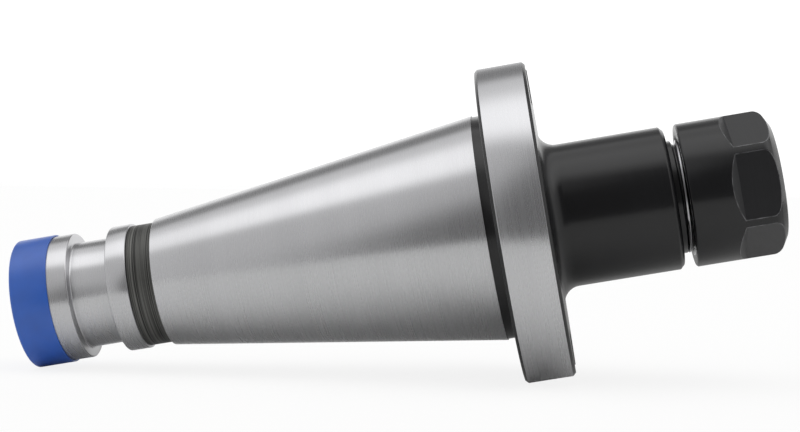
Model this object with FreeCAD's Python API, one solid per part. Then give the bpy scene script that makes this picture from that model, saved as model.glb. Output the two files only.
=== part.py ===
import FreeCAD, Part
import math
import os

from FreeCAD import Placement, Rotation, Vector

# Collet chuck holder: a 7:24 steep-taper tool holder with a small hexagonal clamping nut.
# Units are millimetres. The pieces are drawn along the spindle axis: X = 0 at the gauge
# plane, +X out of the nose. place_at_rest() then lays the finished holder on the floor,
# where it leans on the lower drive slot of its flange and on the edge of its tail cap.

# ---- driving dimensions: shank, No. 40 steep taper ----
gauge_diameter = 44.45
taper_ratio = 7 / 24          # change of diameter per unit of length
taper_length = 65.4
tail_length = 93.4            # gauge plane to the end of the tail
tail_diameter = 25.0
tail_chamfer = 0.8
undercut_diameter = 24.1      # rough-turned groove behind the taper
undercut_width = 5.0
tail_ring_width = 4.1
neck_diameter = 21.0          # clamping groove for the drawbar's gripper
neck_width = 7.7

# ---- driving dimensions: flange and drive slots ----
relief_diameter = 44.0
flange_gap = 2.15             # gauge plane to the flange's rear face
flange_diameter = 63.0
flange_thickness = 9.85
flange_chamfer = 0.6
slot_width = 16.1
slot_floor_radius = 22.5
slot_corner_fillet = 1.0

# ---- driving dimensions: nose and nut thread ----
nose_diameter = 28.0
nose_length = 24.0            # flange's front face to the nose's end face
nose_fillet = 3.3             # turned as a run of short cones
fillet_steps = 3
nose_chamfer = 0.8
thread_diameter = 22.0        # M22 x 1.5 fine thread, drawn at its major diameter
thread_pitch = 1.5
thread_length = 12.2
thread_chamfer = 0.7

# ---- driving dimensions: bores of the holder ----
drawbar_minor_diameter = 13.835   # M16 drawbar thread, drawn at its minor diameter
drawbar_thread_length = 32.0
pilot_diameter = 17.0
pilot_length = 6.0
through_diameter = 10.6

# ---- driving dimensions: spring collet, 8 degree type ----
collet_length = 27.5
collet_diameter = 17.0
collet_cone_angle = 8.0
collet_bore_diameter = 10.0
collet_recess = 0.2           # nut's front face to the collet's front face
groove_width = 1.7            # groove in which the nut's pull-out ring runs
groove_diameter = 13.9
collar_diameter = 16.2
collar_width = 1.5
front_cone_angle = 30.0
collet_face_diameter = 12.6
slit_width = 0.6
slit_pairs = 4                # diametral cuts from each end
first_slit_angle = 11.25
front_slit_land = 5.5         # uncut length left at the far end of each slit
rear_slit_land = 7.0

# ---- driving dimensions: clamping nut ----
nut_gap = 2.3                 # nose's end face to the nut's rear face
nut_length = 17.9
nut_diameter = 28.0
nut_across_flats = 25.0
nut_flat_start = 9.65         # nut's rear face to the full-depth flat
nut_rear_chamfer = 0.3
nut_front_face_diameter = 22.0
nut_mouth_diameter = 13.4
nut_ring_bore = 15.2          # eccentric pull-out ring
nut_ring_offset = 0.55
nut_wall_at_cone = 0.4        # straight chamber left around the collet's collar

# ---- driving dimensions: tail cap ----
cap_cover = 7.2               # length of tail that the cap covers
cap_wall = 0.3
cap_chamfer = 0.3

# ---- clearances ----
thread_clearance = 0.05
seat_clearance = 0.05
ring_clearance = 0.15
cap_clearance = 0.04

# ---- stations along the axis, worked out from the sizes above ----
small_end_radius = (gauge_diameter - taper_ratio * taper_length) / 2
undercut_start = -taper_length - undercut_width
neck_front = undercut_start - tail_ring_width
neck_rear = neck_front - neck_width
flange_front = flange_gap + flange_thickness
nose_end = flange_front + nose_length
spigot_end = nose_end + thread_length
nut_rear = nose_end + nut_gap
nut_front = nut_rear + nut_length
collet_front = nut_front - collet_recess
collet_rear = collet_front - collet_length

front_cone_slope = math.tan(math.radians(front_cone_angle))
collet_cone_slope = math.tan(math.radians(collet_cone_angle))
front_cone_length = (collar_diameter - collet_face_diameter) / 2 / front_cone_slope
collar_front = collet_front - front_cone_length
groove_front = collar_front - collar_width
groove_rear = groove_front - groove_width
collet_rear_radius = collet_diameter / 2 - collet_cone_slope * (groove_rear - collet_rear)


def lathe(points):
    """Turns a closed outline of (station, radius) points about the X axis."""
    corners = [Vector(x, 0, radius) for x, radius in points]
    corners.append(corners[0])
    return Part.Face(Part.makePolygon(corners)).revolve(Vector(0, 0, 0), Vector(1, 0, 0), 360)


def cylinder(radius, start, end):
    """Round bar along X between two stations."""
    return Part.makeCylinder(radius, end - start, Vector(start, 0, 0), Vector(1, 0, 0))


def root_curve(station, radius, fillet):
    """Points of a hollow fillet from a face at that station down to a bar of that radius."""
    points = []
    for step in range(fillet_steps + 1):
        angle = math.pi / 2 * step / fillet_steps
        x = station + fillet * (1 - math.cos(angle))
        points.append((x, radius + fillet * (1 - math.sin(angle))))
    return points


def drive_slot(side):
    """Radial drive slot through the flange, above (+1) or below (-1) the axis."""
    depth = flange_diameter / 2 - slot_floor_radius + 2
    slot = Part.makeBox(flange_thickness + 2, slot_width, depth)
    slot.translate(Vector(flange_gap - 1, -slot_width / 2, slot_floor_radius))
    floor_edges = []
    for edge in slot.Edges:
        ends = [vertex.Point for vertex in edge.Vertexes]
        on_floor = all(abs(point.z - slot_floor_radius) < 1e-6 for point in ends)
        if on_floor and abs(ends[0].y - ends[1].y) < 1e-6:
            floor_edges.append(edge)
    slot = slot.makeFillet(slot_corner_fillet, floor_edges)
    if side < 0:
        slot.rotate(Vector(0, 0, 0), Vector(1, 0, 0), 180)
    return slot


def make_holder_body():
    """Taper shank, flange, nose and threaded spigot, turned and milled from one bar."""
    tail = tail_diameter / 2
    neck = neck_diameter / 2
    undercut = undercut_diameter / 2
    relief = relief_diameter / 2
    flange = flange_diameter / 2
    nose = nose_diameter / 2
    spigot = thread_diameter / 2
    outline = [
        (-tail_length, 0),
        (-tail_length, tail - tail_chamfer),
        (-tail_length + tail_chamfer, tail),
        (neck_rear, tail),
        (neck_rear, neck),
        (neck_front, neck),
        (neck_front, tail),
        (undercut_start, tail),
        (undercut_start, undercut),
        (-taper_length, undercut),
        (-taper_length, small_end_radius),
        (0, gauge_diameter / 2),
        (0, relief),
        (flange_gap, relief),
        (flange_gap, flange - flange_chamfer),
        (flange_gap + flange_chamfer, flange),
        (flange_front - flange_chamfer, flange),
        (flange_front, flange - flange_chamfer),
        *root_curve(flange_front, nose, nose_fillet),
        (nose_end - nose_chamfer, nose),
        (nose_end, nose - nose_chamfer),
        (nose_end, spigot),
        (spigot_end - thread_chamfer, spigot),
        (spigot_end, spigot - thread_chamfer),
        (spigot_end, 0),
    ]
    body = lathe(outline)
    for side in (1, -1):
        body = body.cut(drive_slot(side))
    return body.cut(bores_of_body())


def bores_of_body():
    """Drawbar thread, through bore and collet seat as one turned cutter."""
    thread = drawbar_minor_diameter / 2
    pilot = pilot_diameter / 2
    through = through_diameter / 2
    thread_end = -tail_length + pilot_length + drawbar_thread_length
    drill_tip = (thread - through) / math.tan(math.radians(59))
    seat_rear_radius = collet_rear_radius + seat_clearance
    mouth_radius = seat_rear_radius + collet_cone_slope * (spigot_end - collet_rear)
    outline = [
        (-tail_length - 1, 0),
        (-tail_length - 1, pilot),
        (-tail_length + pilot_length, pilot),
        (-tail_length + pilot_length + (pilot - thread), thread),
        (thread_end, thread),
        (thread_end + drill_tip, through),
        (collet_rear - 2, through),
        (collet_rear - 2, seat_rear_radius),
        (collet_rear, seat_rear_radius),
        (spigot_end, mouth_radius),
        (spigot_end + 1, mouth_radius),
        (spigot_end + 1, 0),
    ]
    return lathe(outline)


def collet_outline():
    """Outer and inner line of the collet before it is slit."""
    big = collet_diameter / 2
    bore = collet_bore_diameter / 2
    collar = collar_diameter / 2
    groove = groove_diameter / 2
    return [
        (collet_rear, bore),
        (collet_rear, collet_rear_radius),
        (groove_rear, big),
        (groove_rear, groove),
        (groove_front, groove),
        (groove_front, collar),
        (collar_front, collar),
        (collet_front, collet_face_diameter / 2),
        (collet_front, bore),
    ]


def make_collet():
    """Spring collet: a slim double cone, slit from both ends so that it can close."""
    collet = lathe(collet_outline())
    span = collet_diameter + 4
    pitch = 180 / slit_pairs
    for number in range(slit_pairs):
        front_slit = Part.makeBox(collet_length, span, slit_width)
        front_slit.translate(Vector(collet_rear + front_slit_land, -span / 2, -slit_width / 2))
        front_angle = first_slit_angle + number * pitch
        front_slit.rotate(Vector(0, 0, 0), Vector(1, 0, 0), front_angle)
        collet = collet.cut(front_slit)
        rear_slit = Part.makeBox(collet_length, span, slit_width)
        rear_slit.translate(Vector(-rear_slit_land + collet_rear, -span / 2, -slit_width / 2))
        rear_slit.rotate(Vector(0, 0, 0), Vector(1, 0, 0), front_angle + pitch / 2)
        collet = collet.cut(rear_slit)
    return collet


def nut_flat(number):
    """Cutter for one flat: square to the axis, with a 45 degree run-out at its rear end."""
    flat = nut_across_flats / 2
    reach = nut_diameter / 2 + 1
    start = nut_rear + nut_flat_start
    corners = [
        Vector(start, flat, -reach),
        Vector(nut_front + 1, flat, -reach),
        Vector(nut_front + 1, reach, -reach),
        Vector(start - (reach - flat), reach, -reach),
    ]
    corners.append(corners[0])
    cutter = Part.Face(Part.makePolygon(corners)).extrude(Vector(0, 0, 2 * reach))
    cutter.rotate(Vector(0, 0, 0), Vector(1, 0, 0), number * 60)
    return cutter


def nut_chamber():
    """Hollow of the nut: thread, chamber of the collet's collar and its 30 degree seat."""
    thread = thread_diameter / 2 + thread_clearance
    collar = collar_diameter / 2 + nut_wall_at_cone
    ring_rear = groove_rear + ring_clearance
    ring_front = groove_front - ring_clearance
    seat_start = collar_front - (nut_wall_at_cone - 2 * seat_clearance) / front_cone_slope
    mouth = nut_mouth_diameter / 2
    mouth_start = seat_start + (collar - mouth) / front_cone_slope
    rear = lathe([
        (nut_rear - 1, 0),
        (nut_rear - 1, thread + thread_chamfer),
        (nut_rear, thread + thread_chamfer),
        (nut_rear + thread_chamfer, thread),
        (ring_rear - 1.2, thread),
        (ring_rear, collar),
        (ring_rear, 0),
    ])
    front = lathe([
        (ring_front, 0),
        (ring_front, collar),
        (seat_start, collar),
        (mouth_start, mouth),
        (nut_front + 1, mouth),
        (nut_front + 1, 0),
    ])
    ring = cylinder(nut_ring_bore / 2, ring_rear - 1, ring_front + 1)
    ring.translate(Vector(0, 0, nut_ring_offset))
    return rear.fuse(front).fuse(ring)


def make_clamping_nut():
    """Clamping nut: round blank with six milled flats and a chamfered front."""
    blank = nut_diameter / 2
    face = nut_front_face_diameter / 2
    chamfer_length = (blank - face) * math.tan(math.radians(30))
    nut = lathe([
        (nut_rear, 0),
        (nut_rear, blank - nut_rear_chamfer),
        (nut_rear + nut_rear_chamfer, blank),
        (nut_front - chamfer_length, blank),
        (nut_front, face),
        (nut_front, 0),
    ])
    for number in range(6):
        nut = nut.cut(nut_flat(number))
    return nut.cut(nut_chamber())


def make_end_cap():
    """Thin plastic cup pushed over the end of the tail."""
    inner = tail_diameter / 2 + cap_clearance
    outer = inner + cap_wall
    floor = -tail_length - cap_clearance
    rim = -tail_length + cap_cover
    end = floor - cap_wall
    return lathe([
        (end, 0),
        (end, outer - cap_chamfer),
        (end + cap_chamfer, outer),
        (rim, outer),
        (rim, inner),
        (floor, inner),
        (floor, 0),
    ])


def lean_angle():
    """Angle of the axis to the floor, in degrees, when the holder lies at rest.

    The holder touches the floor at the two lower corners of the bottom drive slot, on the
    rear edge of the flange's rim, and at the outer edge of the tail cap.
    """
    slot_corner = math.sqrt((flange_diameter / 2) ** 2 - (slot_width / 2) ** 2)
    rim_edge = flange_gap + flange_chamfer
    cap_radius = tail_diameter / 2 + cap_clearance + cap_wall
    cap_edge = -tail_length - cap_clearance - cap_wall + cap_chamfer
    return math.degrees(math.atan2(slot_corner - cap_radius, rim_edge - cap_edge))


def place_at_rest(solid):
    """Turns a piece from the spindle axis into the resting attitude, tail down."""
    rest = Placement(Vector(0, 0, 0), Rotation(Vector(0, 1, 0), -lean_angle()))
    placed = solid.copy()
    placed.Placement = rest.multiply(placed.Placement)
    return placed


pieces = {
    "holder_body": make_holder_body(),
    "collet": make_collet(),
    "clamping_nut": make_clamping_nut(),
    "end_cap": make_end_cap(),
}
os.makedirs("parts", exist_ok=True)
for name, solid in pieces.items():
    place_at_rest(solid).exportStep(os.path.join("parts", name + ".step"))
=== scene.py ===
import math

import bmesh
import bpy
from bpy.props import FloatProperty, FloatVectorProperty, IntProperty, PointerProperty
from mathutils import Matrix, Vector


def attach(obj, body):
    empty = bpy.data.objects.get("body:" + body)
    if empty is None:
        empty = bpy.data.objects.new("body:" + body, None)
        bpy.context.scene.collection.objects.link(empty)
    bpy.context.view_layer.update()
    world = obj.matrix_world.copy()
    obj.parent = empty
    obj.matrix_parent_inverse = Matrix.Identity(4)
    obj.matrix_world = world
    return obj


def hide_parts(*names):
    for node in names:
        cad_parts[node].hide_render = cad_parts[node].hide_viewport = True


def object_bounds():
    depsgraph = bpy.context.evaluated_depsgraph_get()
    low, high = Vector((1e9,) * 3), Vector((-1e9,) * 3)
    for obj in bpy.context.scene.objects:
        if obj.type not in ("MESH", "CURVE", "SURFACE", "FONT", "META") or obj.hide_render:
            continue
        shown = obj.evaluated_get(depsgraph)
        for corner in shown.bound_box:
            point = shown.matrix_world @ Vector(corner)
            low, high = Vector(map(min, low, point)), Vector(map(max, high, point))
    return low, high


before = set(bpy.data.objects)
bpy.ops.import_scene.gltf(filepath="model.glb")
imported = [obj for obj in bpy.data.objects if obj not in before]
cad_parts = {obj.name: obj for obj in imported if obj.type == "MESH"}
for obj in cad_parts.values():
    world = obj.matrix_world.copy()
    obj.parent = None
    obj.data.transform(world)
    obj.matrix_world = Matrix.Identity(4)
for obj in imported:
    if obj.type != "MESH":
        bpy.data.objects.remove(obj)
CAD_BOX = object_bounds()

bl_info = {
    "name": "Collet Chuck Holder",
    "version": (1, 0, 0),
    "blender": (4, 5, 0),
    "location": "3D View > Sidebar > Chuck Holder",
    "description": "Builds a steep-taper collet chuck holder with its nut, collet and tail cap",
    "category": "Add Mesh",
}

MM = 0.001
FULL_TURN = 2 * math.pi
SPINDLE_AXIS = Vector((1, 0, 0))


def srgb(code):
    """Linear red, green and blue of an sRGB hex colour."""
    channels = [int(code[i : i + 2], 16) / 255 for i in (1, 3, 5)]
    return [c / 12.92 if c <= 0.04045 else ((c + 0.055) / 1.055) ** 2.4 for c in channels]


def length(name, millimetres, description):
    """A length property in metres, given in millimetres."""
    return FloatProperty(
        name=name, description=description, default=millimetres * MM, unit="LENGTH", precision=5
    )


def finish_colour(name, code, description):
    """A colour property, given as an sRGB hex value."""
    return FloatVectorProperty(
        name=name, description=description, default=srgb(code), subtype="COLOR", min=0, max=1
    )


# ---------------------------------------------------------------- sizes and finishes


class HolderSizes(bpy.types.PropertyGroup):
    """Shank, flange and nose, turned from one bar."""

    gauge_diameter: length("Gauge diameter", 44.45, "Large end of the steep taper")
    taper_length: length("Taper length", 65.4, "Gauge plane to the small end of the taper")
    tail_length: length("Tail length", 93.4, "Gauge plane to the end of the tail")
    tail_diameter: length("Tail diameter", 25.0, "Outside of the two tail rings")
    tail_chamfer: length("Tail chamfer", 0.8, "Chamfer on the end of the tail")
    undercut_diameter: length("Undercut diameter", 24.1, "Groove behind the taper")
    undercut_width: length("Undercut width", 5.0, "Length of the groove behind the taper")
    tail_ring_width: length("Tail ring width", 4.1, "Ring between the neck and the groove")
    neck_diameter: length("Neck diameter", 21.0, "Neck that the drawbar's gripper takes")
    neck_width: length("Neck width", 7.7, "Length of the neck")
    relief_diameter: length("Relief diameter", 44.0, "Turned band at the large end")
    flange_gap: length("Flange gap", 2.15, "Gauge plane to the flange's rear face")
    flange_diameter: length("Flange diameter", 62.96, "Outside of the flange")
    flange_thickness: length("Flange thickness", 9.85, "Rear face to front face")
    flange_chamfer: length("Flange chamfer", 0.6, "Chamfer on both edges of the flange")
    slot_width: length("Slot width", 16.1, "Drive slot, wall to wall")
    slot_floor: length("Slot floor", 22.5, "Spindle axis to the floor of a drive slot")
    nose_diameter: length("Nose diameter", 28.0, "Round nose in front of the flange")
    nose_length: length("Nose length", 24.0, "Flange to the nose's end face")
    nose_fillet: length("Nose fillet", 3.3, "Fillet between the flange and the nose")
    nose_chamfer: length("Nose chamfer", 0.8, "Chamfer on the nose's end")
    edge_break: length("Edge break", 0.12, "Stoned radius on the turned edges")
    facets: IntProperty(
        name="Facets", description="Steps round each turned surface", default=288, min=48
    )


class ThreadSizes(bpy.types.PropertyGroup):
    """Threads of the nose and of the drawbar."""

    nose_diameter: length("Nose thread", 22.0, "Major diameter of the nut's thread")
    nose_pitch: length("Nose pitch", 1.5, "Pitch of the nut's thread")
    nose_length: length("Nose thread length", 12.2, "Length of the threaded spigot")
    nose_chamfer: length("Thread chamfer", 0.7, "Lead-in at the end of the spigot")
    drawbar_diameter: length("Drawbar thread", 16.0, "Major diameter of the drawbar's thread")
    drawbar_pitch: length("Drawbar pitch", 2.0, "Pitch of the drawbar's thread")
    drawbar_length: length("Drawbar thread length", 32.0, "Length of the drawbar's thread")
    pilot_diameter: length("Pilot diameter", 17.0, "Plain bore before the drawbar's thread")
    pilot_length: length("Pilot length", 6.0, "Length of that plain bore")
    through_diameter: length("Through bore", 10.6, "Bore that joins the tail to the collet seat")
    facets: IntProperty(
        name="Facets", description="Steps in one turn of a thread", default=120, min=24
    )


class ColletSizes(bpy.types.PropertyGroup):
    """Slim double-cone spring collet."""

    total_length: length("Length", 27.5, "End to end")
    diameter: length("Diameter", 17.0, "Large end of the long cone")
    bore: length("Bore", 10.0, "Shank that the collet grips")
    groove_diameter: length("Groove diameter", 13.9, "Groove for the nut's pull-out ring")
    groove_width: length("Groove width", 1.7, "Length of that groove")
    collar_diameter: length("Collar diameter", 16.2, "Collar in front of the groove")
    collar_width: length("Collar width", 1.5, "Length of the collar")
    face_diameter: length("Face diameter", 12.6, "Front face, at the end of the short cone")
    recess: length("Recess", 0.2, "How far the collet sits inside the nut's face")
    slit_width: length("Slit width", 0.6, "Width of the slits")
    front_land: length("Front slit land", 5.5, "Uncut length behind the slits from the front")
    rear_land: length("Rear slit land", 7.0, "Uncut length before the slits from the rear")
    cone_angle: FloatProperty(
        name="Cone angle",
        description="Half angle of the long cone",
        default=math.radians(8),
        subtype="ANGLE",
    )


class NutSizes(bpy.types.PropertyGroup):
    """Hexagonal clamping nut with a round rear end."""

    gap: length("Gap", 2.3, "Nose's end face to the nut's rear face")
    total_length: length("Length", 17.9, "Rear face to front face")
    diameter: length("Diameter", 28.0, "Round part of the nut")
    across_flats: length("Across flats", 25.0, "Spanner size")
    flat_start: length("Flat start", 9.65, "Rear face to the full depth of a flat")
    front_face: length("Front face", 22.0, "Flat ring inside the front chamfer")
    rear_chamfer: length("Rear chamfer", 0.3, "Chamfer on the rear edge")
    mouth: length("Mouth", 13.4, "Opening in the front face")
    ring_bore: length("Ring bore", 15.2, "Bore of the eccentric pull-out ring")
    ring_offset: length("Ring offset", 0.55, "How far that ring is off the axis")
    edge_break: length("Edge break", 0.1, "Tumbled radius along the milled edges")


class CapSizes(bpy.types.PropertyGroup):
    """Thin plastic cup over the end of the tail."""

    cover: length("Cover", 7.2, "Length of tail inside the cap")
    wall: length("Wall", 0.3, "Thickness of the plastic")
    edge: length("Edge", 0.3, "Chamfer round the closed end")
    clearance: length("Clearance", 0.04, "Play between the cap and the tail")


class Finishes(bpy.types.PropertyGroup):
    """Colours of the metals and of the plastic."""

    ground_steel: finish_colour("Ground steel", "#BEBEC0", "Taper, tail and flange rim")
    turned_steel: finish_colour("Turned groove", "#464644", "Rough-turned, blackened groove")
    black_oxide: finish_colour("Black oxide", "#101012", "Nose, flange faces and nut")
    milled_oxide: finish_colour("Milled oxide", "#1D1D1F", "The nut's flats")
    worn_edge: finish_colour("Worn edge", "#6C6C6E", "Where the oxide has rubbed through")
    collet_steel: finish_colour("Collet steel", "#C4C2BE", "Fine-ground spring steel")
    cap_blue: finish_colour("Cap blue", "#1A56B2", "Blue polyethylene")


class StageSettings(bpy.types.PropertyGroup):
    """Camera, floor and lights."""

    camera_place: FloatVectorProperty(
        name="Camera place",
        description="Where the camera stands",
        default=(0.01427, -0.35072, 0.00793),
        subtype="TRANSLATION",
    )
    camera_heading: FloatProperty(
        name="Camera heading",
        description="How far the camera looks towards the tail",
        default=math.radians(5.228),
        subtype="ANGLE",
    )
    camera_pitch: FloatProperty(
        name="Camera pitch",
        description="How far the camera looks down",
        default=math.radians(0.957),
        subtype="ANGLE",
    )
    camera_roll: FloatProperty(
        name="Camera roll",
        description="How far the camera is turned about its line of view",
        default=math.radians(0.835),
        subtype="ANGLE",
    )
    lens: FloatProperty(
        name="Lens", description="Focal length in millimetres on a 36 mm sensor", default=80.4
    )
    floor_colour: finish_colour("Floor", "#F4F4F3", "Pale studio floor")
    table_edge: length("Table edge", 170, "Spindle axis to the floor sheet's front edge")
    overhead: FloatProperty(
        name="Overhead light", description="Brightness of the softbox above", default=1.7, min=0
    )


SETTINGS = (
    ("chuck_holder", HolderSizes),
    ("chuck_threads", ThreadSizes),
    ("chuck_collet", ColletSizes),
    ("chuck_nut", NutSizes),
    ("chuck_cap", CapSizes),
    ("chuck_finishes", Finishes),
    ("chuck_stage", StageSettings),
)


# ---------------------------------------------------------------- stations along the axis


def stations(scene):
    """Places along the spindle axis that several pieces share, from the sizes above."""
    holder, threads, collet, nut = (
        scene.chuck_holder,
        scene.chuck_threads,
        scene.chuck_collet,
        scene.chuck_nut,
    )
    at = {}
    at["undercut"] = -holder.taper_length - holder.undercut_width
    at["neck_front"] = at["undercut"] - holder.tail_ring_width
    at["neck_rear"] = at["neck_front"] - holder.neck_width
    at["flange_front"] = holder.flange_gap + holder.flange_thickness
    at["nose_end"] = at["flange_front"] + holder.nose_length
    at["spigot_end"] = at["nose_end"] + threads.nose_length
    at["nut_rear"] = at["nose_end"] + nut.gap
    at["nut_front"] = at["nut_rear"] + nut.total_length
    at["collet_front"] = at["nut_front"] - collet.recess
    at["collet_rear"] = at["collet_front"] - collet.total_length
    cone = (collet.collar_diameter - collet.face_diameter) / 2 / math.tan(math.radians(30))
    at["collar_front"] = at["collet_front"] - cone
    at["groove_front"] = at["collar_front"] - collet.collar_width
    at["groove_rear"] = at["groove_front"] - collet.groove_width
    at["collet_rear_radius"] = collet.diameter / 2 - math.tan(collet.cone_angle) * (
        at["groove_rear"] - at["collet_rear"]
    )
    return at


def lean(scene):
    """Angle of the spindle axis to the floor, with the holder on its slot and its cap."""
    holder, cap = scene.chuck_holder, scene.chuck_cap
    corner = math.sqrt((holder.flange_diameter / 2) ** 2 - (holder.slot_width / 2) ** 2)
    radius = holder.tail_diameter / 2 + cap.clearance + cap.wall
    edge = -holder.tail_length - cap.clearance - cap.wall + cap.edge
    return math.atan2(corner - radius, holder.flange_gap + holder.flange_chamfer - edge)


# ---------------------------------------------------------------- making


def turned(outline, facets):
    """Turns a closed line of (station, radius, edge radius) corners about the spindle axis."""
    mesh = bmesh.new()
    corners = [mesh.verts.new((x, 0, radius)) for x, radius, _ in outline]
    for here, there in zip(corners, corners[1:] + corners[:1]):
        mesh.edges.new((here, there))
    roundings = {}
    for corner, (_, _, rounding) in zip(corners, outline):
        if rounding > 0:
            roundings.setdefault(rounding, []).append(corner)
    for rounding, sharp in roundings.items():
        bmesh.ops.bevel(
            mesh,
            geom=sharp,
            offset=rounding,
            offset_type="OFFSET",
            segments=8 if rounding > 0.4 * MM else 3,
            profile=0.5,
            affect="VERTICES",
            material=-1,
            clamp_overlap=False,
        )
    bmesh.ops.spin(
        mesh,
        geom=mesh.verts[:] + mesh.edges[:],
        cent=(0, 0, 0),
        axis=SPINDLE_AXIS,
        angle=FULL_TURN,
        steps=facets,
        use_merge=True,
    )
    bmesh.ops.remove_doubles(mesh, verts=mesh.verts[:], dist=1e-6)
    wires = [edge for edge in mesh.edges if not edge.link_faces]
    bmesh.ops.delete(mesh, geom=wires, context="EDGES")
    bmesh.ops.recalc_face_normals(mesh, faces=mesh.faces[:])
    return mesh


def threaded(crest, root, pitch, start, end, facets):
    """A V thread between two stations, as a closed bar that follows one right-hand helix."""
    mesh = bmesh.new()
    flat = pitch / 8
    line = [
        (0, root),
        (flat * 2, root),
        (pitch / 2, crest),
        (pitch / 2 + flat * 1.5, crest),
        (pitch, root),
    ]
    turns = math.ceil((end - start) / pitch) + 2
    first = start - pitch
    corners = [mesh.verts.new((first + x, 0, radius)) for x, radius in line]
    for here, there in zip(corners, corners[1:]):
        mesh.edges.new((here, there))
    bmesh.ops.spin(
        mesh,
        geom=mesh.verts[:] + mesh.edges[:],
        cent=(0, 0, 0),
        axis=-SPINDLE_AXIS,
        dvec=SPINDLE_AXIS * (pitch / facets),
        angle=FULL_TURN * turns,
        steps=facets * turns,
    )
    bmesh.ops.remove_doubles(mesh, verts=mesh.verts[:], dist=2e-6)
    for station, outward in ((start, -1), (end, 1)):
        cut = bmesh.ops.bisect_plane(
            mesh,
            geom=mesh.verts[:] + mesh.edges[:] + mesh.faces[:],
            dist=1e-7,
            plane_co=(station, 0, 0),
            plane_no=(outward, 0, 0),
            clear_outer=True,
        )
        rim = [item for item in cut["geom_cut"] if isinstance(item, bmesh.types.BMEdge)]
        bmesh.ops.contextual_create(mesh, geom=rim)
    bmesh.ops.recalc_face_normals(mesh, faces=mesh.faces[:])
    return mesh


def block(low, high):
    """A rectangular cutter between two corners."""
    mesh = bmesh.new()
    bmesh.ops.create_cube(mesh, size=1)
    size = Vector(high) - Vector(low)
    bmesh.ops.scale(mesh, vec=size, verts=mesh.verts[:])
    bmesh.ops.translate(mesh, vec=(Vector(low) + Vector(high)) / 2, verts=mesh.verts[:])
    return mesh


def prism(outline, half_width):
    """A cutter with that (station, height) outline, as wide as twice half_width across Y."""
    mesh = bmesh.new()
    corners = [mesh.verts.new((x, -half_width, z)) for x, z in outline]
    face = mesh.faces.new(corners)
    grown = bmesh.ops.extrude_face_region(mesh, geom=[face])
    moved = [item for item in grown["geom"] if isinstance(item, bmesh.types.BMVert)]
    bmesh.ops.translate(mesh, vec=(0, 2 * half_width, 0), verts=moved)
    bmesh.ops.recalc_face_normals(mesh, faces=mesh.faces[:])
    return mesh


def turn_about_axis(mesh, angle):
    """Turns a cutter about the spindle axis."""
    bmesh.ops.rotate(
        mesh,
        cent=(0, 0, 0),
        matrix=Matrix.Rotation(angle, 3, SPINDLE_AXIS),
        verts=mesh.verts[:],
    )
    return mesh


def as_object(mesh, name):
    """Puts a bmesh into a new object in the scene and frees it."""
    data = bpy.data.meshes.new(name)
    mesh.to_mesh(data)
    mesh.free()
    made = bpy.data.objects.new(name, data)
    bpy.context.scene.collection.objects.link(made)
    return made


def cut(mesh, cutters, operation="DIFFERENCE", finish=0):
    """Takes the cutters from the mesh, or unites or intersects them, one after the other."""
    work = as_object(mesh, "work")
    for index in range(8):
        work.data.materials.append(None)
    tools = []
    for cutter in cutters:
        for face in cutter.faces:
            face.material_index = finish
        tool = as_object(cutter, "cutter")
        for index in range(8):
            tool.data.materials.append(None)
        step = work.modifiers.new("cut", "BOOLEAN")
        step.operation = operation
        step.solver = "EXACT"
        step.material_mode = "INDEX"
        step.object = tool
        tools.append(tool)
    graph = bpy.context.evaluated_depsgraph_get()
    data = bpy.data.meshes.new_from_object(work.evaluated_get(graph))
    result = bmesh.new()
    result.from_mesh(data)
    bpy.data.meshes.remove(data)
    for item in [work, *tools]:
        spent = item.data
        bpy.data.objects.remove(item)
        bpy.data.meshes.remove(spent)
    bmesh.ops.remove_doubles(result, verts=result.verts[:], dist=1e-6)
    bmesh.ops.dissolve_degenerate(result, edges=result.edges[:], dist=1e-6)
    return result


def break_edges(mesh, wanted, radius, finish, segments=2):
    """Rounds the edges for which wanted(edge) is true; the new strips take that finish."""
    picked = [edge for edge in mesh.edges if len(edge.link_faces) == 2 and wanted(edge)]
    bmesh.ops.bevel(
        mesh,
        geom=picked,
        offset=radius,
        offset_type="OFFSET",
        segments=segments,
        profile=0.5,
        affect="EDGES",
        material=finish,
        clamp_overlap=False,
    )
    return mesh


def along_and_out(point):
    """Station along the spindle axis and radius from it."""
    return point.x, math.hypot(point.y, point.z)


def finished(mesh, name, finishes, body, nodes=(), smooth_angle=32):
    """Lays a piece at rest, shades it, gives it its finishes and lets it ride on its body."""
    bmesh.ops.rotate(
        mesh,
        cent=(0, 0, 0),
        matrix=Matrix.Rotation(-lean(bpy.context.scene), 3, "Y"),
        verts=mesh.verts[:],
    )
    for face in mesh.faces:
        face.smooth = True
    for edge in mesh.edges:
        if len(edge.link_faces) != 2:
            continue
        turn = edge.calc_face_angle(0)
        one, other = edge.link_faces
        limit = smooth_angle if one.material_index == other.material_index else 4
        edge.smooth = turn < math.radians(limit)
    piece = as_object(mesh, name)
    for finish in finishes:
        piece.data.materials.append(finish)
    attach(piece, body)
    if nodes:
        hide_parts(*nodes)
    return piece


# ---------------------------------------------------------------- finishes


def add_node(tree, kind, settings=None, **inputs):
    """Adds a node with its settings; an input is a value, or the socket that feeds it."""
    node = tree.nodes.new(kind)
    for key, value in (settings or {}).items():
        setattr(node, key, value)
    for key, value in inputs.items():
        socket = node.inputs[int(key[1:])] if key[0] == "_" else node.inputs[key.replace("_", " ")]
        if isinstance(value, bpy.types.NodeSocket):
            tree.links.new(value, socket)
        else:
            socket.default_value = value
    return node


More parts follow.
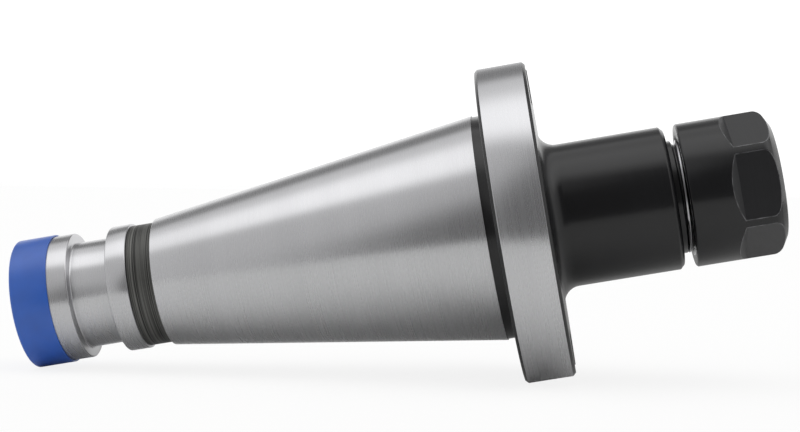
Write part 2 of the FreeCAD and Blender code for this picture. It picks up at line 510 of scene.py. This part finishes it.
def new_finish(name):
    """An empty material with its shader and its output, and the pattern's own axes.

    The axes are turned by the lean, so X of the pattern runs along the spindle axis.
    """
    found = bpy.data.materials.get(name)
    if found:
        return found, None, None, None
    material = bpy.data.materials.new(name)
    material.use_nodes = True
    tree = material.node_tree
    tree.nodes.clear()
    place = add_node(tree, "ShaderNodeTexCoord").outputs["Object"]
    axes = add_node(
        tree,
        "ShaderNodeMapping",
        {"vector_type": "POINT"},
        Vector=place,
        Rotation=(0, lean(bpy.context.scene), 0),
    ).outputs["Vector"]
    shader = add_node(tree, "ShaderNodeBsdfPrincipled")
    add_node(tree, "ShaderNodeOutputMaterial", Surface=shader.outputs["BSDF"])
    return material, tree, axes, shader


def round_and_round(tree):
    """Direction of the turning and grinding lines: round the spindle axis."""
    normal = add_node(tree, "ShaderNodeNewGeometry").outputs["Normal"]
    tilt = lean(bpy.context.scene)
    return add_node(
        tree,
        "ShaderNodeVectorMath",
        {"operation": "CROSS_PRODUCT"},
        _0=normal,
        _1=(math.cos(tilt), 0, math.sin(tilt)),
    ).outputs["Vector"]


def lines_round(tree, axes, spacing, detail=2.0):
    """Grey pattern of fine lines round the axis; spacing is the distance between them.

    Round the axis the pattern changes 12 times a metre, so a line runs right round.
    """
    stretched = add_node(
        tree,
        "ShaderNodeMapping",
        {"vector_type": "POINT"},
        Vector=axes,
        Scale=(1 / spacing, 12.0, 12.0),
    ).outputs["Vector"]
    return add_node(
        tree, "ShaderNodeTexNoise", Vector=stretched, Scale=1.0, Detail=detail, Roughness=0.55
    ).outputs["Fac"]


def toned(tree, colour, pattern, low, high, dark, light):
    """The colour made darker and lighter where the pattern goes from low to high."""
    tone = add_node(
        tree, "ShaderNodeMapRange", _0=pattern, _1=low, _2=high, _3=dark, _4=light
    ).outputs["Result"]
    return add_node(
        tree, "ShaderNodeVectorMath", {"operation": "SCALE"}, _0=(*colour,), Scale=tone
    ).outputs["Vector"]


def ground_steel_finish():
    """Hardened alloy steel, cylindrically ground: bright, with hair-fine lines round the axis
    that draw every reflection out along the taper into soft streaks."""
    material, tree, axes, shader = new_finish("alloy_steel_ground")
    if tree is None:
        return material
    colours = bpy.context.scene.chuck_finishes
    # Wheel marks are some 0.01 mm apart; drawn at 0.18 mm, the finest that shows.
    marks = lines_round(tree, axes, 0.18 * MM)
    # Slower drift of tone along the taper, from wheel passes about 7 mm wide.
    passes = lines_round(tree, axes, 7 * MM, 1.0)
    colour = toned(tree, colours.ground_steel, passes, 0.3, 0.7, 0.95, 1.0)
    rough = add_node(
        tree, "ShaderNodeMapRange", _0=marks, _1=0.25, _2=0.75, _3=0.25, _4=0.31
    ).outputs["Result"]
    tree.links.new(colour, shader.inputs["Base Color"])
    tree.links.new(rough, shader.inputs["Roughness"])
    tree.links.new(round_and_round(tree), shader.inputs["Tangent"])
    shader.inputs["Metallic"].default_value = 1.0
    shader.inputs["Anisotropic"].default_value = 0.7
    shader.inputs["Anisotropic Rotation"].default_value = 0.25
    bump = add_node(
        tree, "ShaderNodeBump", Height=marks, Strength=0.005, Distance=0.01 * MM
    ).outputs["Normal"]
    tree.links.new(bump, shader.inputs["Normal"])
    return material


def turned_groove_finish():
    """Rough-turned steel left from before hardening, blackened by the heat: dull, with open
    tool rings that catch light on one side."""
    material, tree, axes, shader = new_finish("alloy_steel_rough_turned_blackened")
    if tree is None:
        return material
    colours = bpy.context.scene.chuck_finishes
    # Feed of the roughing tool: 0.3 mm a turn, drawn at 0.38 mm.
    rings = lines_round(tree, axes, 0.38 * MM, 3.0)
    # The base colour follows the ring height, far darker in the troughs and brighter on the crests:
    # painted shade in the troughs and painted light on the crests.
    colour = toned(tree, colours.turned_steel, rings, 0.38, 0.62, 0.1, 2.3)
    tree.links.new(colour, shader.inputs["Base Color"])
    shader.inputs["Metallic"].default_value = 0.6
    shader.inputs["Roughness"].default_value = 0.45
    bump = add_node(
        tree, "ShaderNodeBump", Height=rings, Strength=1.0, Distance=0.2 * MM
    ).outputs["Normal"]
    tree.links.new(bump, shader.inputs["Normal"])
    return material


def black_oxide_finish():
    """Turned steel, black oxide and oiled: nearly black with a satin sheen, so that it shows
    soft lights as grey bands and its faint turning lines only in them."""
    material, tree, axes, shader = new_finish("steel_black_oxide_turned")
    if tree is None:
        return material
    colours = bpy.context.scene.chuck_finishes
    # Fine finishing feed of 0.1 mm, drawn at 0.22 mm.
    marks = lines_round(tree, axes, 0.22 * MM)
    cloud = add_node(
        tree, "ShaderNodeTexNoise", Vector=axes, Scale=1 / (6 * MM), Detail=2.0
    ).outputs["Fac"]
    colour = toned(tree, colours.black_oxide, cloud, 0.3, 0.7, 0.8, 1.15)
    rough = add_node(
        tree, "ShaderNodeMapRange", _0=marks, _1=0.25, _2=0.75, _3=0.2, _4=0.27
    ).outputs["Result"]
    tree.links.new(colour, shader.inputs["Base Color"])
    tree.links.new(rough, shader.inputs["Roughness"])
    tree.links.new(round_and_round(tree), shader.inputs["Tangent"])
    shader.inputs["IOR"].default_value = 1.45
    shader.inputs["Anisotropic"].default_value = 0.4
    shader.inputs["Anisotropic Rotation"].default_value = 0.25
    bump = add_node(
        tree, "ShaderNodeBump", Height=marks, Strength=0.05, Distance=0.02 * MM
    ).outputs["Normal"]
    tree.links.new(bump, shader.inputs["Normal"])
    return material


def milled_oxide_finish():
    """Flats cut by the side of an end mill, then black oxide: faint straight feed marks along
    the nut, and a duller, paler grey than the turned parts."""
    material, tree, axes, shader = new_finish("steel_black_oxide_milled")
    if tree is None:
        return material
    colours = bpy.context.scene.chuck_finishes
    # Teeth of the mill leave marks 0.15 mm apart; drawn at 0.3 mm.
    marks = lines_round(tree, axes, 0.3 * MM, 1.0)
    colour = toned(tree, colours.milled_oxide, marks, 0.3, 0.7, 0.85, 1.15)
    tree.links.new(colour, shader.inputs["Base Color"])
    shader.inputs["Roughness"].default_value = 0.36
    shader.inputs["IOR"].default_value = 1.45
    bump = add_node(
        tree, "ShaderNodeBump", Height=marks, Strength=0.1, Distance=0.02 * MM
    ).outputs["Normal"]
    tree.links.new(bump, shader.inputs["Normal"])
    return material


def worn_edge_finish():
    """Edge of blackened steel where handling has rubbed the oxide through: a thin line of dull
    grey steel."""
    material, tree, axes, shader = new_finish("steel_black_oxide_worn_edge")
    if tree is None:
        return material
    colours = bpy.context.scene.chuck_finishes
    patches = add_node(
        tree, "ShaderNodeTexNoise", Vector=axes, Scale=1 / (1.5 * MM), Detail=3.0
    ).outputs["Fac"]
    share = add_node(
        tree, "ShaderNodeMapRange", _0=patches, _1=0.35, _2=0.65, _3=0.1, _4=1.0
    ).outputs["Result"]
    colour = add_node(
        tree,
        "ShaderNodeMix",
        {"data_type": "RGBA"},
        Factor=share,
        _6=(*colours.black_oxide, 1),
        _7=(*colours.worn_edge, 1),
    ).outputs[2]
    tree.links.new(colour, shader.inputs["Base Color"])
    tree.links.new(share, shader.inputs["Metallic"])
    shader.inputs["Roughness"].default_value = 0.35
    return material


def collet_finish():
    """Spring steel, hardened and fine-ground: a cooler, cleaner shine than the shank's."""
    material, tree, axes, shader = new_finish("spring_steel_fine_ground")
    if tree is None:
        return material
    colours = bpy.context.scene.chuck_finishes
    marks = lines_round(tree, axes, 0.12 * MM)
    colour = toned(tree, colours.collet_steel, marks, 0.3, 0.7, 0.9, 1.0)
    rough = add_node(
        tree, "ShaderNodeMapRange", _0=marks, _1=0.25, _2=0.75, _3=0.18, _4=0.26
    ).outputs["Result"]
    tree.links.new(colour, shader.inputs["Base Color"])
    tree.links.new(rough, shader.inputs["Roughness"])
    shader.inputs["Metallic"].default_value = 1.0
    return material


def cap_finish():
    """Low-density polyethylene, injection moulded and blue: satin, a little waxy, with light
    that soaks in and softens its edges."""
    material, tree, axes, shader = new_finish("polyethylene_moulded_blue")
    if tree is None:
        return material
    colours = bpy.context.scene.chuck_finishes
    # Flow of the melt: clouds about 4 mm across, hardly lighter or darker.
    flow = add_node(
        tree, "ShaderNodeTexNoise", Vector=axes, Scale=1 / (4 * MM), Detail=2.0
    ).outputs["Fac"]
    colour = toned(tree, colours.cap_blue, flow, 0.3, 0.7, 0.94, 1.05)
    # Spark-eroded mould texture, about 0.25 mm from peak to peak.
    grain = add_node(
        tree, "ShaderNodeTexNoise", Vector=axes, Scale=1 / (0.25 * MM), Detail=1.0
    ).outputs["Fac"]
    tree.links.new(colour, shader.inputs["Base Color"])
    shader.inputs["Roughness"].default_value = 0.34
    shader.inputs["IOR"].default_value = 1.6
    shader.inputs["Subsurface Weight"].default_value = 0.1
    shader.inputs["Subsurface Radius"].default_value = (0.6, 0.8, 1.6)
    shader.inputs["Subsurface Scale"].default_value = 0.4 * MM
    bump = add_node(
        tree, "ShaderNodeBump", Height=grain, Strength=0.15, Distance=0.02 * MM
    ).outputs["Normal"]
    tree.links.new(bump, shader.inputs["Normal"])
    return material


# ---------------------------------------------------------------- pieces


class CHUCK_OT_holder_body(bpy.types.Operator):
    """Turn and mill the shank, flange and nose"""

    bl_idname = "chuck.holder_body"
    bl_label = "Holder body"

    def execute(self, context):
        scene = context.scene
        size, threads, collet = scene.chuck_holder, scene.chuck_threads, scene.chuck_collet
        at = stations(scene)
        broken = size.edge_break
        tail, neck = size.tail_diameter / 2, size.neck_diameter / 2
        small_end = (size.gauge_diameter - size.taper_length * 7 / 24) / 2
        flange, nose = size.flange_diameter / 2, size.nose_diameter / 2
        spigot = threads.nose_diameter / 2
        core = spigot - 0.6134 * threads.nose_pitch
        crest = threads.drawbar_diameter / 2 - 0.5413 * threads.drawbar_pitch
        pilot, through = threads.pilot_diameter / 2, threads.through_diameter / 2
        root = threads.drawbar_diameter / 2
        pilot_end = -size.tail_length + threads.pilot_length
        thread_end = pilot_end + threads.drawbar_length
        seat = at["collet_rear_radius"] + 0.05 * MM
        slope = math.tan(collet.cone_angle)
        mouth = seat + slope * (at["spigot_end"] - at["collet_rear"])
        outline = [
            (-size.tail_length, tail - size.tail_chamfer, 0),
            (-size.tail_length + size.tail_chamfer, tail, 0),
            (at["neck_rear"], tail, 0.3 * MM),
            (at["neck_rear"], neck, 0.45 * MM),
            (at["neck_front"], neck, 0),
            (at["neck_front"], tail, 0.25 * MM),
            (at["undercut"], tail, 0.2 * MM),
            (at["undercut"], size.undercut_diameter / 2, 0),
            (-size.taper_length, size.undercut_diameter / 2, 0),
            (-size.taper_length, small_end, broken),
            (0, size.gauge_diameter / 2, 0.05 * MM),
            (0, size.relief_diameter / 2, 0),
            (size.flange_gap, size.relief_diameter / 2, 0.3 * MM),
            (size.flange_gap, flange - size.flange_chamfer, 0.1 * MM),
            (size.flange_gap + size.flange_chamfer, flange, 0.1 * MM),
            (at["flange_front"] - size.flange_chamfer, flange, 0.1 * MM),
            (at["flange_front"], flange - size.flange_chamfer, 0.1 * MM),
            (at["flange_front"], nose, size.nose_fillet),
            (at["nose_end"] - size.nose_chamfer, nose, 0.1 * MM),
            (at["nose_end"], nose - size.nose_chamfer, 0.1 * MM),
            (at["nose_end"], spigot, 0),
            (at["nose_end"] + 1.0 * MM, spigot, 0.06 * MM),
            (at["nose_end"] + 1.3 * MM, core + 0.2 * MM, 0),
            (at["nose_end"] + 1.5 * MM, core + 0.2 * MM, 0),
            (at["nose_end"] + 1.5 * MM, core, 0),
            (at["spigot_end"], core, 0),
            (at["spigot_end"], mouth, 0.1 * MM),
            (at["collet_rear"], seat, 0),
            (at["collet_rear"] - 2 * MM, seat, 0),
            (at["collet_rear"] - 2 * MM, through, 0),
            (thread_end + (crest - through) / math.tan(math.radians(59)), through, 0),
            (thread_end, crest, 0),
            (thread_end, root, 0),
            (pilot_end + 1 * MM, root, 0),
            (pilot_end, pilot, 0),
            (-size.tail_length, pilot, broken),
        ]
        mesh = turned(outline, size.facets)
        for face in mesh.faces:
            face.material_index = self.finish_at(face, size, at)
        slots = []
        for side in (0, math.pi):
            slot = block(
                (size.flange_gap - 1 * MM, -size.slot_width / 2, size.slot_floor),
                (at["flange_front"] + 1 * MM, size.slot_width / 2, flange + 2 * MM),
            )
            floor = [
                e
                for e in slot.edges
                if all(abs(v.co.z - size.slot_floor) < 1e-6 for v in e.verts)
                and abs(e.verts[0].co.x - e.verts[1].co.x) > 1e-6
            ]
            bmesh.ops.bevel(
                slot,
                geom=floor,
                offset=1 * MM,
                offset_type="OFFSET",
                segments=6,
                profile=0.5,
                affect="EDGES",
                material=-1,
            )
            slots.append(turn_about_axis(slot, side))
        mesh = cut(mesh, slots, finish=1)
        finishes = [ground_steel_finish(), black_oxide_finish(), turned_groove_finish()]
        finished(
            mesh, "holder_turned_body", finishes, "holder", ["holder_body"]
        )
        return {"FINISHED"}

    @staticmethod
    def finish_at(face, size, at):
        """0 ground, 1 black oxide, 2 rough-turned, by where the face lies."""
        station, radius = along_and_out(face.calc_center_median())
        tail = size.tail_diameter / 2
        if radius < size.neck_diameter / 2 - 0.1 * MM and station < at["nose_end"] - 1 * MM:
            return 1
        if station < at["undercut"] + 0.02 * MM:
            return 0
        if station < -size.taper_length + 0.02 * MM and radius < tail + 0.1 * MM:
            return 2
        if station < 0:
            return 0
        rim = size.flange_diameter / 2 - 0.05 * MM
        if radius > rim and size.flange_gap < station < at["flange_front"]:
            return 0
        return 1


class CHUCK_OT_threads(bpy.types.Operator):
    """Cut the nose thread and the drawbar thread"""

    bl_idname = "chuck.threads"
    bl_label = "Threads"

    def execute(self, context):
        scene = context.scene
        size = scene.chuck_threads
        at = stations(scene)
        major = size.nose_diameter / 2
        core = major - 0.6134 * size.nose_pitch
        bar = threaded(
            major,
            core - 0.02 * MM,
            size.nose_pitch,
            at["nose_end"] + 1.3 * MM,
            at["spigot_end"],
            size.facets,
        )
        sleeve = turned(
            [
                (at["nose_end"] + 1.6 * MM, major + 0.1 * MM, 0),
                (at["spigot_end"] - size.nose_chamfer, major + 0.1 * MM, 0),
                (at["spigot_end"] - 0.02 * MM, major - size.nose_chamfer + 0.1 * MM, 0),
                (at["spigot_end"] - 0.02 * MM, core - 0.6 * MM, 0),
                (at["nose_end"] + 1.35 * MM, core - 0.6 * MM, 0),
                (at["nose_end"] + 1.35 * MM, core + 0.1 * MM, 0),
            ],
            size.facets,
        )
        mesh = cut(bar, [sleeve], "INTERSECT")
        for face in mesh.faces:
            station, radius = along_and_out(face.calc_center_median())
            lead_in = station < at["nose_end"] + 2.1 * MM and radius > core + 0.1 * MM
            face.material_index = 2 if lead_in else int(radius > major - 0.05 * MM)
        finishes = [black_oxide_finish(), worn_edge_finish(), ground_steel_finish()]
        finished(mesh, "nose_thread", finishes, "holder")
        self.drawbar_thread(scene)
        return {"FINISHED"}

    @staticmethod
    def drawbar_thread(scene):
        """A sleeve in the tail's bore, with the drawbar's thread tapped through it."""
        size = scene.chuck_threads
        major = size.drawbar_diameter / 2
        crest = major - 0.5413 * size.drawbar_pitch
        rear = -scene.chuck_holder.tail_length + size.pilot_length
        front = rear + size.drawbar_length
        tap = threaded(
            major,
            crest - 0.1 * MM,
            size.drawbar_pitch,
            rear - 1 * MM,
            front + 1 * MM,
            size.facets,
        )
        outside = major + 0.03 * MM
        sleeve = turned(
            [
                (rear + 1 * MM, outside, 0),
                (front, outside, 0),
                (front, crest, 0),
                (rear + 1 * MM + outside - crest, crest, 0),
            ],
            size.facets,
        )
        mesh = cut(sleeve, [tap])
        finished(mesh, "drawbar_thread", [black_oxide_finish()], "holder")


class CHUCK_OT_clamping_nut(bpy.types.Operator):
    """Turn the nut, mill its six flats and bore it"""

    bl_idname = "chuck.clamping_nut"
    bl_label = "Clamping nut"

    def execute(self, context):
        scene = context.scene
        size, threads, collet = scene.chuck_nut, scene.chuck_threads, scene.chuck_collet
        at = stations(scene)
        rear, front = at["nut_rear"], at["nut_front"]
        blank, face = size.diameter / 2, size.front_face / 2
        thread = threads.nose_diameter / 2 + 0.05 * MM
        collar = collet.collar_diameter / 2 + 0.4 * MM
        mouth = size.mouth / 2
        ring_rear, ring_front = at["groove_rear"] + 0.15 * MM, at["groove_front"] - 0.15 * MM
        slope = math.tan(math.radians(30))
        seat = at["collar_front"] - (0.4 * MM - 0.1 * MM) / slope
        ring = size.ring_bore / 2
        chamfer = (blank - face) * slope
        blank_outline = [
            (rear, blank - size.rear_chamfer, 0.08 * MM),
            (rear + size.rear_chamfer, blank, 0.08 * MM),
            (front - chamfer, blank, 1.1 * MM),
            (front, face, 0.2 * MM),
            (front, mouth, 0.12 * MM),
            (seat + (collar - mouth) / slope, mouth, 0),
            (seat, collar, 0),
            (ring_front, collar, 0),
            (ring_front, ring - 1.2 * MM, 0),
            (ring_rear, ring - 1.2 * MM, 0),
            (ring_rear, collar, 0),
            (ring_rear - 1.2 * MM, thread, 0),
            (rear + 0.7 * MM, thread, 0),
            (rear, thread + 0.7 * MM, 0.06 * MM),
        ]
        mesh = turned(blank_outline, scene.chuck_holder.facets)
        reach = blank + 1 * MM
        flat, start = size.across_flats / 2, rear + size.flat_start
        cutters = []
        for number in range(6):
            cutter = prism(
                [
                    (start, flat),
                    (front + 1 * MM, flat),
                    (front + 1 * MM, reach),
                    (start - (reach - flat), reach),
                ],
                reach,
            )
            cutters.append(turn_about_axis(cutter, math.radians(90 + 60 * number)))
        hole = turned(
            [
                (ring_rear - 0.5 * MM, ring, 0),
                (ring_front + 0.5 * MM, ring, 0),
                (ring_front + 0.5 * MM, 0.5 * MM, 0),
                (ring_rear - 0.5 * MM, 0.5 * MM, 0),
            ],
            96,
        )
        bmesh.ops.translate(hole, vec=(0, 0, size.ring_offset), verts=hole.verts[:])
        mesh = cut(mesh, cutters, finish=1)
        mesh = cut(mesh, [hole])
        break_edges(
            mesh,
            lambda edge: {f.material_index for f in edge.link_faces} == {0, 1},
            size.edge_break,
            finish=2,
        )
        finished(
            mesh,
            "clamping_nut_milled",
            [black_oxide_finish(), milled_oxide_finish(), worn_edge_finish()],
            "nut",
            ["clamping_nut"],
        )
        return {"FINISHED"}


class CHUCK_OT_collet(bpy.types.Operator):
    """Turn the collet and slit it from both ends"""

    bl_idname = "chuck.collet"
    bl_label = "Collet"

    def execute(self, context):
        scene = context.scene
        size = scene.chuck_collet
        at = stations(scene)
        rear, front = at["collet_rear"], at["collet_front"]
        big, bore = size.diameter / 2, size.bore / 2
        edge = 0.15 * MM
        outline = [
            (rear, bore + edge, 0.05 * MM),
            (rear, at["collet_rear_radius"] - edge, 0.05 * MM),
            (rear + edge, at["collet_rear_radius"] + math.tan(size.cone_angle) * edge, 0),
            (at["groove_rear"], big, 0.08 * MM),
            (at["groove_rear"], size.groove_diameter / 2, 0.1 * MM),
            (at["groove_front"], size.groove_diameter / 2, 0.1 * MM),
            (at["groove_front"], size.collar_diameter / 2, 0.08 * MM),
            (at["collar_front"], size.collar_diameter / 2, 0.08 * MM),
            (front, size.face_diameter / 2, 0.08 * MM),
            (front, bore + edge, 0.05 * MM),
            (front - edge, bore, 0),
            (rear + edge, bore, 0),
        ]
        mesh = turned(outline, 224)
        span = size.diameter / 2 + 2 * MM
        half = size.slit_width / 2
        slits = []
        for number in range(4):
            angle = math.radians(11.25 + 45 * number)
            front_slit = block((rear + size.front_land, -span, -half), (front + 5 * MM, span, half))
            slits.append(turn_about_axis(front_slit, angle))
            rear_slit = block((rear - 5 * MM, -span, -half), (front - size.rear_land, span, half))
            slits.append(turn_about_axis(rear_slit, angle + math.radians(22.5)))
        mesh = cut(mesh, slits)
        finished(
            mesh, "collet_slit", [collet_finish()], "collet", ["collet"]
        )
        return {"FINISHED"}


class CHUCK_OT_tail_cap(bpy.types.Operator):
    """Mould the plastic cap over the tail"""

    bl_idname = "chuck.tail_cap"
    bl_label = "Tail cap"

    def execute(self, context):
        scene = context.scene
        holder, size = scene.chuck_holder, scene.chuck_cap
        inner = holder.tail_diameter / 2 + size.clearance
        outer = inner + size.wall
        floor = -holder.tail_length - size.clearance
        rim = -holder.tail_length + size.cover
        end = floor - size.wall
        outline = [
            (end, 0, 0),
            (end, outer - size.edge, 0.12 * MM),
            (end + size.edge, outer, 0.12 * MM),
            (rim, outer, 0.08 * MM),
            (rim, inner, 0.06 * MM),
            (floor, inner, 0.1 * MM),
            (floor, 0, 0),
        ]
        mesh = turned(outline, holder.facets)
        finished(mesh, "tail_cap_moulded", [cap_finish()], "cap", ["end_cap"])
        return {"FINISHED"}


class CHUCK_OT_stage(bpy.types.Operator):
    """Set the floor, the lights and the camera"""

    bl_idname = "chuck.stage"
    bl_label = "Stage"

    def execute(self, context):
        scene = context.scene
        size = scene.chuck_stage
        self.make_floor(size)
        self.make_board()
        self.make_world(scene, size)
        self.make_camera(scene, size)
        scene.view_settings.view_transform = "Standard"
        return {"FINISHED"}

    @staticmethod
    def make_floor(size):
        """A wide pale sheet under the holder, which ends at the table's front edge."""
        mesh = bmesh.new()
        bmesh.ops.create_grid(mesh, x_segments=1, y_segments=1, size=6)
        place = (0, 6 - size.table_edge, CAD_BOX[0].z)
        bmesh.ops.translate(mesh, vec=place, verts=mesh.verts[:])
        floor = as_object(mesh, "studio_floor")
        material = bpy.data.materials.new("paper_sweep_matt")
        material.use_nodes = True
        tree = material.node_tree
        tree.nodes.clear()
        seen = add_node(tree, "ShaderNodeLightPath").outputs["Is Camera Ray"]
        # In the holder's own reflections the sheet is greyer behind it than in front: painted shade
        # that stands in for the holder's shade on the floor.
        place = add_node(tree, "ShaderNodeTexCoord").outputs["Object"]
        depth = add_node(tree, "ShaderNodeSeparateXYZ", Vector=place).outputs["Y"]
        grey = add_node(
            tree, "ShaderNodeMapRange", _0=depth, _1=0.0, _2=0.05, _3=1.0, _4=0.45
        ).outputs["Result"]
        share = add_node(
            tree, "ShaderNodeMath", {"operation": "MAXIMUM"}, _0=seen, _1=grey
        ).outputs["Value"]
        pale = add_node(
            tree,
            "ShaderNodeVectorMath",
            {"operation": "SCALE"},
            _0=(*size.floor_colour,),
            Scale=share,
        ).outputs["Vector"]
        matt = add_node(tree, "ShaderNodeBsdfDiffuse", Color=pale).outputs["BSDF"]
        lit = add_node(
            tree, "ShaderNodeEmission", Color=(1, 1, 1, 1), Strength=1.0
        ).outputs["Emission"]
        share = add_node(
            tree, "ShaderNodeMath", {"operation": "MULTIPLY"}, _0=seen, _1=0.85
        ).outputs["Value"]
        both = add_node(
            tree, "ShaderNodeMixShader", Fac=share, _1=matt, _2=lit
        ).outputs["Shader"]
        add_node(tree, "ShaderNodeOutputMaterial", Surface=both)
        floor.data.materials.append(material)

    @staticmethod
    def make_board():
        """A tall board behind the camera: dark round the lens, pale towards the left."""
        mesh = bmesh.new()
        bmesh.ops.create_grid(mesh, x_segments=1, y_segments=1, size=0.5)
        bmesh.ops.scale(mesh, vec=(1.8, 0.8, 1), verts=mesh.verts[:])
        turn = Matrix.Rotation(math.pi / 2, 3, "X")
        bmesh.ops.rotate(mesh, cent=(0, 0, 0), matrix=turn, verts=mesh.verts[:])
        bmesh.ops.translate(mesh, vec=(0, -0.4, 0.15), verts=mesh.verts[:])
        board = as_object(mesh, "board_behind_camera")
        board.visible_camera = False
        material = bpy.data.materials.new("board_dark_to_pale")
        material.use_nodes = True
        tree = material.node_tree
        tree.nodes.clear()
        soft = {"interpolation_type": "SMOOTHSTEP"}
        place = add_node(tree, "ShaderNodeTexCoord").outputs["Object"]
        part = add_node(tree, "ShaderNodeSeparateXYZ", Vector=place).outputs
        # The dark part leans: its left edge runs from low left to high right.
        edge = add_node(
            tree, "ShaderNodeMapRange", _0=part["Z"], _1=0.05, _2=0.35, _3=-0.16, _4=0.0
        ).outputs["Result"]
        inside = add_node(
            tree, "ShaderNodeMath", {"operation": "SUBTRACT"}, _0=part["X"], _1=edge
        ).outputs["Value"]
        left = add_node(
            tree, "ShaderNodeMapRange", soft, _0=inside, _1=-0.06, _2=0.06, _3=0.78, _4=0.18
        ).outputs["Result"]
        right = add_node(
            tree, "ShaderNodeMapRange", soft, _0=part["X"], _1=0.2, _2=0.4, _3=0.0, _4=0.6
        ).outputs["Result"]
        both = add_node(
            tree, "ShaderNodeMath", {"operation": "ADD"}, _0=left, _1=right
        ).outputs["Value"]
        lit = add_node(
            tree, "ShaderNodeEmission", Color=(1, 1, 1, 1), Strength=both
        ).outputs["Emission"]
        add_node(tree, "ShaderNodeOutputMaterial", Surface=lit)
        board.data.materials.append(material)

    @staticmethod
    def make_world(scene, size):
        """Softbox right overhead, dark gap behind it, then a white wall."""
        world = bpy.data.worlds.new("studio")
        scene.world = world
        world.use_nodes = True
        tree = world.node_tree
        tree.nodes.clear()
        way = add_node(tree, "ShaderNodeTexCoord").outputs["Generated"]
        part = add_node(tree, "ShaderNodeSeparateXYZ", Vector=way).outputs
        front = add_node(
            tree, "ShaderNodeMath", {"operation": "MULTIPLY"}, _0=part["Y"], _1=-1.0
        ).outputs["Value"]
        # Height round the spindle: 0 is level in front, 90 overhead, 180 level behind.
        rise = add_node(
            tree, "ShaderNodeMath", {"operation": "ARCTAN2"}, _0=part["Z"], _1=front
        ).outputs["Value"]
        degrees = add_node(
            tree, "ShaderNodeMath", {"operation": "DEGREES"}, _0=rise
        ).outputs["Value"]
        soft = {"interpolation_type": "SMOOTHSTEP"}
        room, power = 0.6, size.overhead
        # Between the two heights in degrees, the light changes by the last less the third value.
        layers = (
            (52, 72, room, power),  # front of the softbox
            (90, 112, 0.0, 1.0 - power),  # its fainter rear half
            (120, 130, 0.0, -0.7),  # dark gap behind it
            (143, 160, 0.0, 0.85),  # white wall
        )
        total = 0.0
        for low, high, start, end in layers:
            step = add_node(
                tree, "ShaderNodeMapRange", soft, _0=degrees, _1=low, _2=high, _3=start, _4=end
            ).outputs["Result"]
            total = add_node(
                tree, "ShaderNodeMath", {"operation": "ADD"}, _0=step, _1=total
            ).outputs["Value"]
        # Far to the left and right the room is evenly pale.
        aside = add_node(
            tree, "ShaderNodeMath", {"operation": "ABSOLUTE"}, _0=part["X"]
        ).outputs["Value"]
        ends = add_node(
            tree, "ShaderNodeMapRange", soft, _0=aside, _1=0.65, _2=0.9, _3=0.0, _4=1.0
        ).outputs["Result"]
        strength = add_node(
            tree, "ShaderNodeMix", {"data_type": "FLOAT"}, _0=ends, _2=total, _3=0.95
        ).outputs[0]
        seen = add_node(tree, "ShaderNodeLightPath").outputs["Is Camera Ray"]
        shown = add_node(
            tree, "ShaderNodeMath", {"operation": "MAXIMUM"}, _0=seen, _1=strength
        ).outputs["Value"]
        shade = add_node(
            tree, "ShaderNodeBackground", Color=(1, 1, 1, 1), Strength=shown
        ).outputs["Background"]
        add_node(tree, "ShaderNodeOutputWorld", Surface=shade)

    @staticmethod
    def make_camera(scene, size):
        """A long lens, nearly level with the holder."""
        camera = bpy.data.cameras.new("camera")
        camera.lens = size.lens
        camera.sensor_width = 36
        camera.clip_start = 0.01
        camera.clip_end = 100
        made = bpy.data.objects.new("camera", camera)
        made.matrix_world = (
            Matrix.Translation(size.camera_place)
            @ Matrix.Rotation(size.camera_heading, 4, "Z")
            @ Matrix.Rotation(math.pi / 2 - size.camera_pitch, 4, "X")
            @ Matrix.Rotation(size.camera_roll, 4, "Z")
        )
        scene.collection.objects.link(made)
        scene.camera = made


class CHUCK_PT_panel(bpy.types.Panel):
    """Lists the pieces of the chuck holder"""

    bl_idname = "CHUCK_PT_panel"
    bl_label = "Chuck Holder"
    bl_space_type = "VIEW_3D"
    bl_region_type = "UI"
    bl_category = "Chuck Holder"

    def draw(self, context):
        for operator in OPERATORS:
            self.layout.operator(operator.bl_idname)
        for name, group in SETTINGS:
            box = self.layout.box()
            box.label(text=group.__doc__)
            for item in group.__annotations__:
                box.prop(getattr(context.scene, name), item)


OPERATORS = (
    CHUCK_OT_holder_body,
    CHUCK_OT_threads,
    CHUCK_OT_clamping_nut,
    CHUCK_OT_collet,
    CHUCK_OT_tail_cap,
    CHUCK_OT_stage,
)
CLASSES = (*(group for _, group in SETTINGS), *OPERATORS, CHUCK_PT_panel)


def register():
    for item in CLASSES:
        bpy.utils.register_class(item)
    for name, group in SETTINGS:
        setattr(bpy.types.Scene, name, PointerProperty(type=group))


def unregister():
    for name, _ in SETTINGS:
        delattr(bpy.types.Scene, name)
    for item in reversed(CLASSES):
        bpy.utils.unregister_class(item)


def main():
    """Builds every piece and the stage."""
    register()
    bpy.ops.chuck.holder_body()
    bpy.ops.chuck.threads()
    bpy.ops.chuck.clamping_nut()
    bpy.ops.chuck.collet()
    bpy.ops.chuck.tail_cap()
    bpy.ops.chuck.stage()


if __name__ == "__main__":
    main()
